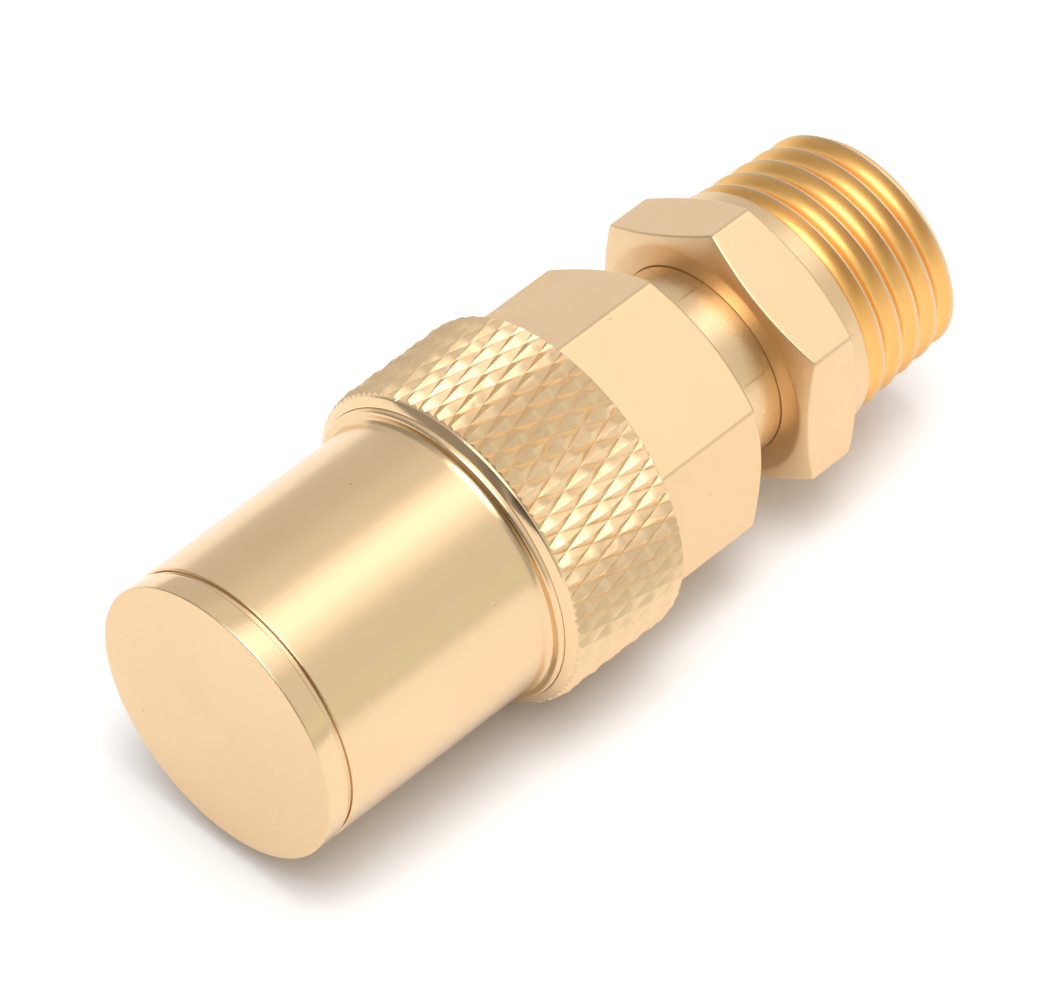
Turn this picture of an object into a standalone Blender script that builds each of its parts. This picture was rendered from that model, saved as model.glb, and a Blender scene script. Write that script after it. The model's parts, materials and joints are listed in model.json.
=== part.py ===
# Automatic air vent with a hygroscopic disc valve and a shut-off adapter.
# Metres, +Z up. The long axis is X: the closed cap faces -X and the taper thread points to +X.
# The origin is on the long axis at half the overall length.

import math

import bmesh
import bpy

MM = 0.001

# Outside, along the axis from the cap to the thread
CAP_THICKNESS = 1.3 * MM
CAP_GROOVE = 0.3 * MM
SLEEVE_LENGTH = 13.5 * MM
BODY_BEVEL_LENGTH = 0.5 * MM
KNURL_LENGTH = 7.3 * MM
KNURL_BACK_BEVEL = 0.3 * MM
BODY_HEX_LENGTH = 7.5 * MM
NECK_LENGTH = 3.2 * MM
ADAPTER_HEX_LENGTH = 4.5 * MM
THREAD_LENGTH = 6.9 * MM

# Outside, across the axis
SLEEVE_DIAMETER = 15.3 * MM
FLANGE_STEP = 0.6 * MM
GRIP_WALL = 0.6 * MM
BODY_RIM_WIDTH = 0.15 * MM
HEX_ACROSS_FLATS = 14.0 * MM
HEX_BEVEL_DEPTH = 0.55 * MM
NECK_DIAMETER = 10.6 * MM
KNURL_DEPTH = 0.3 * MM
KNURL_COLUMNS = 36
KNURL_ROWS = 6

# R 1/4 taper thread: 19 threads per inch, taper 1 in 16 on the diameter
THREAD_GAUGE_DIAMETER = 13.157 * MM
THREAD_GAUGE_FROM_END = 6.0 * MM
THREAD_PITCH = 25.4 * MM / 19
THREAD_DEPTH = 0.856 * MM
THREAD_TAPER = 1 / 16
THREAD_FLAT = 0.12 * MM
THREAD_LAND = 0.6 * MM

EDGE_BEVEL = 0.15 * MM

# Clearances
CONTACT_GAP = 0.3 * MM
RUNNING_GAP = 0.15 * MM
LOOSE_GAP = 0.2 * MM

# Sleeve and what it holds
SLEEVE_WALL = 1.2 * MM
SLEEVE_END_WALL = 1.0 * MM
FLANGE_THICKNESS = 1.8 * MM
SKIRT_WALL = 0.6 * MM
OUTLET_RADIUS = 3.2 * MM
CAP_STUD_RADIUS = 2.4 * MM
CAP_STUD_LENGTH = 1.1 * MM
CAP_RECESS_DEPTH = 0.6 * MM
CAP_RECESS_RADIUS = 5.6 * MM
CAP_WASHER_WIDTH = 1.6 * MM
PLATE_THICKNESS = 0.7 * MM
DISC_COUNT = 6
CAGE_WALL = 0.45 * MM
CAGE_WINDOW_WIDTH = 3.0 * MM
STEM_RADIUS = 1.2 * MM
STEM_TIP_RADIUS = 0.72 * MM
RETURN_SPRING_LENGTH = 2.0 * MM
RETURN_SPRING_WIRE = 0.4 * MM
RETURN_SPRING_CLEARANCE = 0.4 * MM
RETURN_SPRING_TURNS = 2.5
GUIDE_THICKNESS = 1.0 * MM
CLIP_THICKNESS = 0.5 * MM
CLIP_WIDTH = 0.9 * MM
CLIP_GROOVE_DEPTH = 0.25 * MM
CLIP_OPENING_DEG = 40
AIR_HOLE_RADIUS = 0.6 * MM
AIR_HOLES = 6

# Valve
VALVE_TRAVEL = 0.6 * MM
VALVE_CLOSED_GAP = 0.1 * MM
PAD_RADIUS = 1.8 * MM
PAD_THICKNESS = 0.8 * MM
PAD_SETBACK = 0.16 * MM
NOZZLE_TIP_LENGTH = 0.8 * MM
NOZZLE_TIP_RADIUS = 1.3 * MM
NOZZLE_RIM_RADIUS = 1.0 * MM
NOZZLE_BASE_THICKNESS = 0.7 * MM
ORIFICE_RADIUS = 0.5 * MM
GASKET_THICKNESS = 0.4 * MM
GASKET_WIDTH = 1.6 * MM

# Body and neck
BODY_FLOOR_WALL = 0.7 * MM
BODY_PASSAGE_RADIUS = 2.6 * MM
SLEEVE_SEAL_SECTION = 0.8 * MM
SPIGOT_STEP = 0.8 * MM
NOSE_LENGTH = 0.6 * MM
NOSE_PASSAGE_RADIUS = 1.6 * MM
NECK_SEAL_SECTION = 1.2 * MM
NECK_SOCKET_DEPTH = 1.0 * MM

# Shut-off in the adapter
CHECK_CHAMBER_LENGTH = 5.6 * MM
CHECK_CHAMBER_RADIUS = 4.2 * MM
CHECK_WEB = 0.8 * MM
CHECK_TRAVEL = 1.0 * MM
CHECK_STEM_RADIUS = 1.9 * MM
CHECK_HEAD_RADIUS = 3.2 * MM
CHECK_HEAD_THICKNESS = 0.7 * MM
CHECK_SEAL_THICKNESS = 0.6 * MM
CHECK_SEAL_SEAT_RADIUS = 1.33 * MM
CHECK_SLOT_WIDTH = 0.9 * MM
CHECK_SLOT_DEPTH = 1.4 * MM
CHECK_SPRING_WIRE = 0.35 * MM
CHECK_SPRING_TURNS = 1.75
RETAINER_THICKNESS = 0.5 * MM
RETAINER_INSET = 0.25 * MM
RETAINER_GROOVE_DEPTH = 0.35 * MM

TURNED_STEPS = 36
INNER_STEPS = 20
SMALL_STEPS = 12
AIR_HOLE_STEPS = 6
SEAL_STEPS = 8
HEX_BEVEL_STEPS = 4
WIRE_STEPS_PER_TURN = 14
SHARP_ANGLE = math.radians(35)
POINT_TOLERANCE = 0.001 * MM

# Stations along the axis, measured from the cap's outer face
CAP_BACK = CAP_THICKNESS
SLEEVE_TOP = CAP_BACK + CAP_GROOVE
BODY_FRONT = SLEEVE_TOP + SLEEVE_LENGTH
KNURL_FRONT = BODY_FRONT + BODY_BEVEL_LENGTH
KNURL_BACK = KNURL_FRONT + KNURL_LENGTH
KNURL_END = KNURL_BACK - KNURL_BACK_BEVEL
BODY_HEX_BACK = KNURL_BACK + BODY_HEX_LENGTH
ADAPTER_FRONT = BODY_HEX_BACK + NECK_LENGTH
SHOULDER = ADAPTER_FRONT + ADAPTER_HEX_LENGTH
THREAD_END = SHOULDER + THREAD_LENGTH
CENTRE = THREAD_END / 2

SLEEVE_INSIDE = SLEEVE_TOP + SLEEVE_END_WALL
BODY_FLOOR = KNURL_BACK - BODY_FLOOR_WALL
SLEEVE_SEAL_PLACE = BODY_FRONT + FLANGE_THICKNESS + SLEEVE_SEAL_SECTION / 2 + RUNNING_GAP
SEAL_LEDGE = SLEEVE_SEAL_PLACE + SLEEVE_SEAL_SECTION / 2 + RUNNING_GAP
GASKET_BACK = BODY_FLOOR - LOOSE_GAP
GASKET_FRONT = GASKET_BACK - GASKET_THICKNESS
NOZZLE_BACK = GASKET_FRONT - LOOSE_GAP
NOZZLE_FRONT = NOZZLE_BACK - NOZZLE_BASE_THICKNESS
SKIRT_END = NOZZLE_FRONT - CONTACT_GAP
NOZZLE_TIP = NOZZLE_FRONT - NOZZLE_TIP_LENGTH
PAD_BACK = NOZZLE_TIP - VALVE_TRAVEL - VALVE_CLOSED_GAP
PAD_FRONT = PAD_BACK - PAD_THICKNESS
CLIP_BACK = PAD_FRONT
CLIP_FRONT = CLIP_BACK - CLIP_THICKNESS
GUIDE_BACK = CLIP_FRONT - LOOSE_GAP
GUIDE_FRONT = GUIDE_BACK - GUIDE_THICKNESS
SPRING_BACK = GUIDE_FRONT - CONTACT_GAP
SPRING_FRONT = SPRING_BACK - RETURN_SPRING_LENGTH
PRESSURE_BACK = SPRING_FRONT - CONTACT_GAP - VALVE_TRAVEL
PRESSURE_FRONT = PRESSURE_BACK - PLATE_THICKNESS
THRUST_FRONT = SLEEVE_INSIDE + CONTACT_GAP
THRUST_BACK = THRUST_FRONT + PLATE_THICKNESS
DISC_THICKNESS = (PRESSURE_FRONT - THRUST_BACK - (DISC_COUNT + 1) * CONTACT_GAP) / DISC_COUNT

CHECK_SEAT = THREAD_END - CHECK_CHAMBER_LENGTH
CHECK_WEB_FRONT = CHECK_SEAT - CHECK_WEB
NECK_SHOULDER = ADAPTER_FRONT + NECK_SOCKET_DEPTH - CONTACT_GAP
NOSE_BACK = CHECK_WEB_FRONT - CONTACT_GAP
NOSE_FRONT = NOSE_BACK - NOSE_LENGTH
NECK_SEAL_BACK = NOSE_FRONT - RUNNING_GAP
NECK_SEAL_PLACE = NECK_SEAL_BACK - NECK_SEAL_SECTION / 2
NECK_SEAL_FRONT = NECK_SEAL_BACK - NECK_SEAL_SECTION - RUNNING_GAP
CHECK_STEM_TIP = NOSE_BACK + CONTACT_GAP
CHECK_SEAL_FRONT = CHECK_SEAT + CHECK_TRAVEL + VALVE_CLOSED_GAP
CHECK_SEAL_BACK = CHECK_SEAL_FRONT + CHECK_SEAL_THICKNESS
CHECK_HEAD_FRONT = CHECK_SEAL_BACK + LOOSE_GAP
CHECK_HEAD_BACK = CHECK_HEAD_FRONT + CHECK_HEAD_THICKNESS
RETAINER_BACK = THREAD_END - RETAINER_INSET
RETAINER_FRONT = RETAINER_BACK - RETAINER_THICKNESS

# Radii
SLEEVE_RADIUS = SLEEVE_DIAMETER / 2
SLEEVE_BORE = SLEEVE_RADIUS - SLEEVE_WALL
SKIRT_RADIUS = SLEEVE_BORE + SKIRT_WALL
FLANGE_RADIUS = SLEEVE_RADIUS + FLANGE_STEP
SEAT_RADIUS = FLANGE_RADIUS + RUNNING_GAP
GRIP_RADIUS = SEAT_RADIUS + GRIP_WALL
BODY_BORE = SKIRT_RADIUS + LOOSE_GAP
HEX_CORNER = HEX_ACROSS_FLATS / math.sqrt(3)
NECK_RADIUS = NECK_DIAMETER / 2
CAGE_OUTSIDE = SLEEVE_BORE - RUNNING_GAP
CAGE_INSIDE = CAGE_OUTSIDE - CAGE_WALL
DISC_RADIUS = CAGE_INSIDE - LOOSE_GAP
STEM_HOLE = STEM_RADIUS + LOOSE_GAP
SPIGOT_RADIUS = NECK_RADIUS - SPIGOT_STEP
SOCKET_RADIUS = SPIGOT_RADIUS + RUNNING_GAP
NECK_SEAL_GROOVE = SOCKET_RADIUS - RUNNING_GAP - NECK_SEAL_SECTION - RUNNING_GAP
CHECK_HOLE = CHECK_STEM_RADIUS + CONTACT_GAP + LOOSE_GAP
THREAD_END_RADIUS = (THREAD_GAUGE_DIAMETER - THREAD_GAUGE_FROM_END * THREAD_TAPER) / 2


def clear_scene():
    for thing in list(bpy.data.objects):
        bpy.data.objects.remove(thing, do_unlink=True)


def finish(name, colour, roughness, metallic):
    material = bpy.data.materials.new(name)
    material.use_nodes = True
    shader = material.node_tree.nodes["Principled BSDF"]
    shader.inputs["Base Color"].default_value = (*colour, 1)
    shader.inputs["Roughness"].default_value = roughness
    shader.inputs["Metallic"].default_value = metallic
    return material


def group(name, parent=None):
    """An empty on the long axis at the cap's outer face, which carries the pieces that move together."""
    empty = bpy.data.objects.new(name, None)
    bpy.context.collection.objects.link(empty)
    if parent:
        empty.parent = parent
    else:
        empty.location.x = -CENTRE
    return empty


def place(name, mesh, material, parent):
    mesh.materials.append(material)
    piece = bpy.data.objects.new(name, mesh)
    piece.parent = parent
    bpy.context.collection.objects.link(piece)
    return piece


def spun(outline, steps):
    """An outline of (station, radius) points, turned once about the long axis.
    It closes on itself, unless it starts and ends on the axis."""
    form = bmesh.new()
    corners = [form.verts.new((station, 0, radius)) for station, radius in outline]
    following = corners[1:]
    if outline[0][1] > 0:
        following.append(corners[0])
    edges = [form.edges.new((a, b)) for a, b in zip(corners, following)]
    bmesh.ops.spin(
        form,
        geom=corners + edges,
        cent=(0, 0, 0),
        axis=(1, 0, 0),
        angle=math.tau,
        steps=steps,
        use_merge=True,
    )
    bmesh.ops.remove_doubles(form, verts=form.verts, dist=POINT_TOLERANCE)
    bmesh.ops.recalc_face_normals(form, faces=form.faces)
    return form


def turned(name, outline, steps, material, parent, shape=None):
    form = spun(outline, steps)
    if shape:
        shape(form)
    mesh = bpy.data.meshes.new(name)
    form.to_mesh(mesh)
    form.free()
    mesh.shade_smooth()
    mesh.set_sharp_from_angle(angle=SHARP_ANGLE)
    return place(name, mesh, material, parent)


def ring(front, back, inside, outside):
    return [(front, inside), (front, outside), (back, outside), (back, inside)]


def round_section(station, radius, section):
    """The circular section of an O-ring."""
    angles = [math.tau * i / SEAL_STEPS for i in range(SEAL_STEPS)]
    half = section / 2
    return [(station - half * math.cos(a), radius + half * math.sin(a)) for a in angles]


def mill_hexagon(form, front, back):
    """Brings whatever stands outside the hexagon down to its six flats. Two corners point along +Z and -Z."""
    for corner in form.verts:
        if front - POINT_TOLERANCE < corner.co.x < back + POINT_TOLERANCE:
            angle = math.atan2(corner.co.y, corner.co.z)
            from_flat = (angle % (math.pi / 3)) - math.pi / 6
            limit = HEX_ACROSS_FLATS / 2 / math.cos(from_flat)
            radius = math.hypot(corner.co.y, corner.co.z)
            if radius > limit:
                corner.co.y *= limit / radius
                corner.co.z *= limit / radius


def bevelled_edge(station, inward):
    """Outline points of a turned bevel from the across-flats circle to the corners of a hexagon."""
    points = []
    for i in range(HEX_BEVEL_STEPS + 1):
        share = i / HEX_BEVEL_STEPS
        radius = HEX_ACROSS_FLATS / 2 + share * (HEX_CORNER - HEX_ACROSS_FLATS / 2)
        points.append((station + inward * share * HEX_BEVEL_DEPTH, radius))
    return points


def cut(piece, name, cutter_mesh):
    """Takes a cutter, which stays hidden, away from a piece."""
    cutter = bpy.data.objects.new(name, cutter_mesh)
    cutter.parent = piece.parent
    cutter.hide_render = True
    cutter.display_type = "WIRE"
    bpy.context.collection.objects.link(cutter)
    modifier = piece.modifiers.new(name, "BOOLEAN")
    modifier.operation = "DIFFERENCE"
    modifier.solver = "EXACT"
    modifier.object = cutter


def cut_box(piece, name, front, back, width, height, drop=0):
    """Cuts a box out of a piece: from one station to another, centred on the axis or below it."""
    form = bmesh.new()
    made = bmesh.ops.create_cube(form, size=1)
    bmesh.ops.scale(form, verts=made["verts"], vec=(back - front, width, height))
    bmesh.ops.translate(form, verts=made["verts"], vec=((front + back) / 2, 0, -drop))
    mesh = bpy.data.meshes.new(name)
    form.to_mesh(mesh)
    form.free()
    cut(piece, name, mesh)


def perforated(name, front, back, inside, outside, hole_circle, material, parent):
    """A flat disc with a central hole and a circle of air holes, extruded along the axis."""
    curve = bpy.data.curves.new(name, "CURVE")
    curve.dimensions = "2D"
    curve.fill_mode = "BOTH"
    curve.extrude = (back - front) / 2
    circles = [(0, 0, outside, INNER_STEPS), (0, 0, inside, SMALL_STEPS)]
    for i in range(AIR_HOLES):
        angle = math.tau * i / AIR_HOLES
        centre_x = hole_circle * math.cos(angle)
        centre_y = hole_circle * math.sin(angle)
        circles.append((centre_x, centre_y, AIR_HOLE_RADIUS, AIR_HOLE_STEPS))
    for centre_x, centre_y, radius, points in circles:
        outline = curve.splines.new("POLY")
        outline.points.add(points - 1)
        outline.use_cyclic_u = True
        for i, point in enumerate(outline.points):
            angle = math.tau * i / points
            x = centre_x + radius * math.cos(angle)
            y = centre_y + radius * math.sin(angle)
            point.co = (x, y, 0, 1)
    curve.materials.append(material)
    piece = bpy.data.objects.new(name, curve)
    piece.parent = parent
    piece.location.x = (front + back) / 2
    piece.rotation_euler.y = math.pi / 2
    bpy.context.collection.objects.link(piece)
    return piece


def coil(name, front, back, radius, wire, turns, material, parent):
    """A compression spring between two stations."""
    curve = bpy.data.curves.new(name, "CURVE")
    curve.dimensions = "3D"
    curve.bevel_depth = wire / 2
    curve.bevel_resolution = 1
    curve.use_fill_caps = True
    count = int(turns * WIRE_STEPS_PER_TURN) + 1
    line = curve.splines.new("POLY")
    line.points.add(count - 1)
    start = front + wire / 2
    rise = back - front - wire
    for i, point in enumerate(line.points):
        share = i / (count - 1)
        angle = math.tau * turns * share
        point.co = (start + rise * share, radius * math.sin(angle), radius * math.cos(angle), 1)
    curve.materials.append(material)
    return place_curve(name, curve, parent)


def place_curve(name, curve, parent):
    piece = bpy.data.objects.new(name, curve)
    piece.parent = parent
    bpy.context.collection.objects.link(piece)
    return piece


def make_cap(materials, parent):
    bevel = EDGE_BEVEL
    stud_end = CAP_BACK + CAP_STUD_LENGTH
    recess = CAP_BACK - CAP_RECESS_DEPTH
    outline = [
        (0, 0),
        (0, SLEEVE_RADIUS - bevel),
        (bevel, SLEEVE_RADIUS),
        (CAP_BACK - bevel, SLEEVE_RADIUS),
        (CAP_BACK, SLEEVE_RADIUS - bevel),
        (CAP_BACK, CAP_RECESS_RADIUS),
        (recess, CAP_RECESS_RADIUS),
        (recess, CAP_STUD_RADIUS),
        (stud_end, CAP_STUD_RADIUS),
        (stud_end, 0),
    ]
    turned("end_cap", outline, TURNED_STEPS, materials["brass"], parent)


def make_cap_washer(materials, parent):
    outside = CAP_RECESS_RADIUS - LOOSE_GAP
    front = CAP_BACK - CAP_RECESS_DEPTH + LOOSE_GAP
    back = CAP_BACK - RUNNING_GAP / 2
    outline = ring(front, back, outside - CAP_WASHER_WIDTH, outside)
    turned("cap_washer", outline, INNER_STEPS, materials["rubber"], parent)


def make_sleeve(materials, parent):
    groove_front = CLIP_FRONT - LOOSE_GAP / 2
    groove_back = CLIP_BACK + LOOSE_GAP / 2
    groove_radius = SLEEVE_BORE + CLIP_GROOVE_DEPTH
    flange_back = BODY_FRONT + FLANGE_THICKNESS
    bevel = EDGE_BEVEL
    outline = [
        (SLEEVE_TOP, OUTLET_RADIUS),
        (SLEEVE_TOP, SLEEVE_RADIUS - bevel),
        (SLEEVE_TOP + bevel, SLEEVE_RADIUS),
        (BODY_FRONT, SLEEVE_RADIUS),
        (BODY_FRONT, FLANGE_RADIUS),
        (flange_back, FLANGE_RADIUS),
        (flange_back, SKIRT_RADIUS),
        (SKIRT_END, SKIRT_RADIUS),
        (SKIRT_END, SLEEVE_BORE),
        (groove_back, SLEEVE_BORE),
        (groove_back, groove_radius),
        (groove_front, groove_radius),
        (groove_front, SLEEVE_BORE),
        (SLEEVE_INSIDE, SLEEVE_BORE),
        (SLEEVE_INSIDE, OUTLET_RADIUS),
    ]
    turned("chamber_sleeve", outline, TURNED_STEPS, materials["brass"], parent)


def knurl_outline():
    spacing = (KNURL_END - KNURL_FRONT) / KNURL_ROWS
    return [(KNURL_FRONT + spacing * i, GRIP_RADIUS) for i in range(KNURL_ROWS + 1)]


def shape_body(form):
    """Sinks every other point of the grip into a diamond knurl and mills the hexagon."""
    spacing = (KNURL_END - KNURL_FRONT) / KNURL_ROWS
    first = KNURL_FRONT + POINT_TOLERANCE
    last = KNURL_END - POINT_TOLERANCE
    for corner in form.verts:
        row = (corner.co.x - KNURL_FRONT) / spacing
        radius = math.hypot(corner.co.y, corner.co.z)
        if first < corner.co.x < last and abs(radius - GRIP_RADIUS) < POINT_TOLERANCE:
            angle = math.atan2(corner.co.y, corner.co.z) % math.tau
            column = round(angle / math.tau * KNURL_COLUMNS)
            if (round(row) + column) % 2:
                corner.co.y *= 1 - KNURL_DEPTH / radius
                corner.co.z *= 1 - KNURL_DEPTH / radius
    mill_hexagon(form, KNURL_BACK + 2 * POINT_TOLERANCE, BODY_HEX_BACK)


def make_body(materials, parent):
    hexagon_front = KNURL_BACK + EDGE_BEVEL
    outline = [
        (BODY_FRONT, SEAT_RADIUS),
        (BODY_FRONT, SEAT_RADIUS + BODY_RIM_WIDTH),
        *knurl_outline(),
        (KNURL_BACK, GRIP_RADIUS - KNURL_BACK_BEVEL),
        (hexagon_front, HEX_CORNER),
        *reversed(bevelled_edge(BODY_HEX_BACK, -1)),
        (BODY_HEX_BACK, NECK_RADIUS),
        (NECK_SHOULDER, NECK_RADIUS),
        (NECK_SHOULDER, SPIGOT_RADIUS),
        (NECK_SEAL_FRONT, SPIGOT_RADIUS),
        (NECK_SEAL_FRONT, NECK_SEAL_GROOVE),
        (NOSE_FRONT, NECK_SEAL_GROOVE),
        (NOSE_FRONT, SPIGOT_RADIUS),
        (NOSE_BACK, SPIGOT_RADIUS),
        (NOSE_BACK, NOSE_PASSAGE_RADIUS),
        (NOSE_FRONT, NOSE_PASSAGE_RADIUS),
        (NECK_SEAL_FRONT, BODY_PASSAGE_RADIUS),
        (BODY_FLOOR, BODY_PASSAGE_RADIUS),
        (BODY_FLOOR, BODY_BORE),
        (SEAL_LEDGE, BODY_BORE),
        (SEAL_LEDGE, SEAT_RADIUS),
    ]
    turned("vent_body", outline, KNURL_COLUMNS, materials["brass"], parent, shape_body)


def thread_crest(station):
    """The taper thread's outer radius at a station."""
    return THREAD_END_RADIUS + (THREAD_END - station) * THREAD_TAPER / 2


def thread_outline():
    """The taper thread as rings of the true section: a plain land at the shoulder, then groove after
    groove, and a bevel down to the end face."""
    points = [(SHOULDER, thread_crest(SHOULDER))]
    flank = (THREAD_PITCH - 2 * THREAD_FLAT) / 2
    groove = (
        (0, 0),
        (flank, THREAD_DEPTH),
        (flank + THREAD_FLAT, THREAD_DEPTH),
        (THREAD_PITCH - THREAD_FLAT, 0),
    )
    start = SHOULDER + THREAD_LAND
    while start + THREAD_PITCH < THREAD_END:
        for offset, sunk in groove:
            points.append((start + offset, thread_crest(start + offset) - sunk))
        start += THREAD_PITCH
    bevel = min(THREAD_DEPTH, THREAD_END - start)
    points.append((THREAD_END - bevel, thread_crest(THREAD_END - bevel)))
    points.append((THREAD_END, THREAD_END_RADIUS - THREAD_DEPTH))
    return points


def make_adapter(materials, parent):
    socket_floor = ADAPTER_FRONT + NECK_SOCKET_DEPTH
    groove_radius = CHECK_CHAMBER_RADIUS + RETAINER_GROOVE_DEPTH
    groove_front = RETAINER_FRONT - RUNNING_GAP
    groove_back = RETAINER_BACK + RUNNING_GAP / 2
    outline = [
        (ADAPTER_FRONT, NECK_RADIUS + RUNNING_GAP),
        *bevelled_edge(ADAPTER_FRONT, 1),
        *reversed(bevelled_edge(SHOULDER, -1)),
        *thread_outline(),
        (THREAD_END, CHECK_CHAMBER_RADIUS),
        (groove_back, CHECK_CHAMBER_RADIUS),
        (groove_back, groove_radius),
        (groove_front, groove_radius),
        (groove_front, CHECK_CHAMBER_RADIUS),
        (CHECK_SEAT, CHECK_CHAMBER_RADIUS),
        (CHECK_SEAT, CHECK_HOLE),
        (CHECK_WEB_FRONT, CHECK_HOLE),
        (CHECK_WEB_FRONT, SOCKET_RADIUS),
        (socket_floor, SOCKET_RADIUS),
        (socket_floor, NECK_RADIUS + RUNNING_GAP),
    ]

    def shape(form):
        mill_hexagon(form, ADAPTER_FRONT, SHOULDER)

    turned("adapter", outline, TURNED_STEPS, materials["brass_deep"], parent, shape)


def make_stack(materials, sleeve_group, stem_group):
    """The fibre discs between the fixed plate and the moving plate, inside their cage."""
    hole_circle = (STEM_HOLE + CAGE_INSIDE) / 2
    plate_args = (hole_circle, materials["brass"])
    perforated(
        "thrust_plate", THRUST_FRONT, THRUST_BACK, STEM_HOLE, CAGE_INSIDE, *plate_args, sleeve_group
    )
    for i in range(DISC_COUNT):
        front = THRUST_BACK + CONTACT_GAP + i * (DISC_THICKNESS + CONTACT_GAP)
        outline = ring(front, front + DISC_THICKNESS, STEM_HOLE, DISC_RADIUS)
        turned(f"fibre_disc_{i + 1}", outline, INNER_STEPS, materials["fibre"], stem_group)
    perforated(
        "pressure_plate", PRESSURE_FRONT, PRESSURE_BACK, STEM_HOLE, DISC_RADIUS, *plate_args, stem_group
    )
    cage_front = THRUST_FRONT
    cage_back = GUIDE_FRONT - LOOSE_GAP
    outline = ring(cage_front, cage_back, CAGE_INSIDE + RUNNING_GAP / 2, CAGE_OUTSIDE)
    cage = turned("disc_cage", outline, INNER_STEPS, materials["plastic"], sleeve_group)
    windows = (THRUST_BACK + CONTACT_GAP, PRESSURE_FRONT)
    cut_box(cage, "cage_windows_tall", *windows, CAGE_WINDOW_WIDTH, SLEEVE_DIAMETER)
    cut_box(cage, "cage_windows_wide", *windows, SLEEVE_DIAMETER, CAGE_WINDOW_WIDTH)


def make_stem(materials, parent):
    tip = PAD_BACK - PAD_THICKNESS / 2
    neck_front = PAD_FRONT + PAD_SETBACK
    outline = [
        (THRUST_FRONT, 0),
        (THRUST_FRONT, STEM_RADIUS),
        (neck_front - LOOSE_GAP, STEM_RADIUS),
        (neck_front - LOOSE_GAP, STEM_TIP_RADIUS),
        (tip, STEM_TIP_RADIUS),
        (tip, 0),
    ]
    turned("valve_stem", outline, SMALL_STEPS, materials["brass"], parent)
    hollow = STEM_TIP_RADIUS + RUNNING_GAP
    pad = [
        (neck_front, hollow),
        (neck_front, PAD_RADIUS),
        (PAD_BACK, PAD_RADIUS),
        (PAD_BACK, 0),
        (tip + RUNNING_GAP, 0),
        (tip + RUNNING_GAP, hollow),
    ]
    turned("valve_pad", pad, SMALL_STEPS, materials["rubber"], parent)


def make_guide(materials, sleeve_group):
    outside = SLEEVE_BORE - RUNNING_GAP
    hole_circle = (STEM_HOLE + outside) / 2
    perforated(
        "stem_guide",
        GUIDE_FRONT,
        GUIDE_BACK,
        STEM_HOLE,
        outside,
        hole_circle,
        materials["plastic"],
        sleeve_group,
    )
    spring_radius = STEM_HOLE + RETURN_SPRING_CLEARANCE + RETURN_SPRING_WIRE / 2
    coil(
        "return_spring",
        SPRING_FRONT,
        SPRING_BACK,
        spring_radius,
        RETURN_SPRING_WIRE,
        RETURN_SPRING_TURNS,
        materials["steel"],
        sleeve_group,
    )
    clip_outside = SLEEVE_BORE + CLIP_GROOVE_DEPTH - RUNNING_GAP / 2
    outline = ring(CLIP_FRONT, CLIP_BACK, clip_outside - CLIP_WIDTH, clip_outside)
    clip = turned("cage_clip", outline, INNER_STEPS, materials["steel"], sleeve_group)
    opening = 2 * clip_outside * math.sin(math.radians(CLIP_OPENING_DEG) / 2)
    front = CLIP_FRONT - CLIP_THICKNESS
    back = CLIP_BACK + CLIP_THICKNESS
    cut_box(clip, "clip_opening", front, back, opening, 2 * clip_outside, drop=clip_outside)


def make_seat(materials, body_group):
    base = BODY_BORE - LOOSE_GAP
    nozzle = [
        (NOZZLE_TIP, ORIFICE_RADIUS),
        (NOZZLE_TIP, NOZZLE_RIM_RADIUS),
        (NOZZLE_FRONT, NOZZLE_TIP_RADIUS),
        (NOZZLE_FRONT, base),
        (NOZZLE_BACK, base),
        (NOZZLE_BACK, ORIFICE_RADIUS),
    ]
    turned("seat_nozzle", nozzle, INNER_STEPS, materials["brass"], body_group)
    gasket = ring(GASKET_FRONT, GASKET_BACK, base - GASKET_WIDTH, base)
    turned("seat_gasket", gasket, INNER_STEPS, materials["rubber"], body_group)
    seal_radius = SEAT_RADIUS - RUNNING_GAP - SLEEVE_SEAL_SECTION / 2
    section = round_section(SLEEVE_SEAL_PLACE, seal_radius, SLEEVE_SEAL_SECTION)
    turned("sleeve_seal", section, INNER_STEPS, materials["rubber"], body_group)


def make_neck_seal(materials, parent):
    seal_radius = SOCKET_RADIUS - RUNNING_GAP - NECK_SEAL_SECTION / 2
    section = round_section(NECK_SEAL_PLACE, seal_radius, NECK_SEAL_SECTION)
    turned("neck_seal", section, INNER_STEPS, materials["rubber"], parent)


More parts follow.
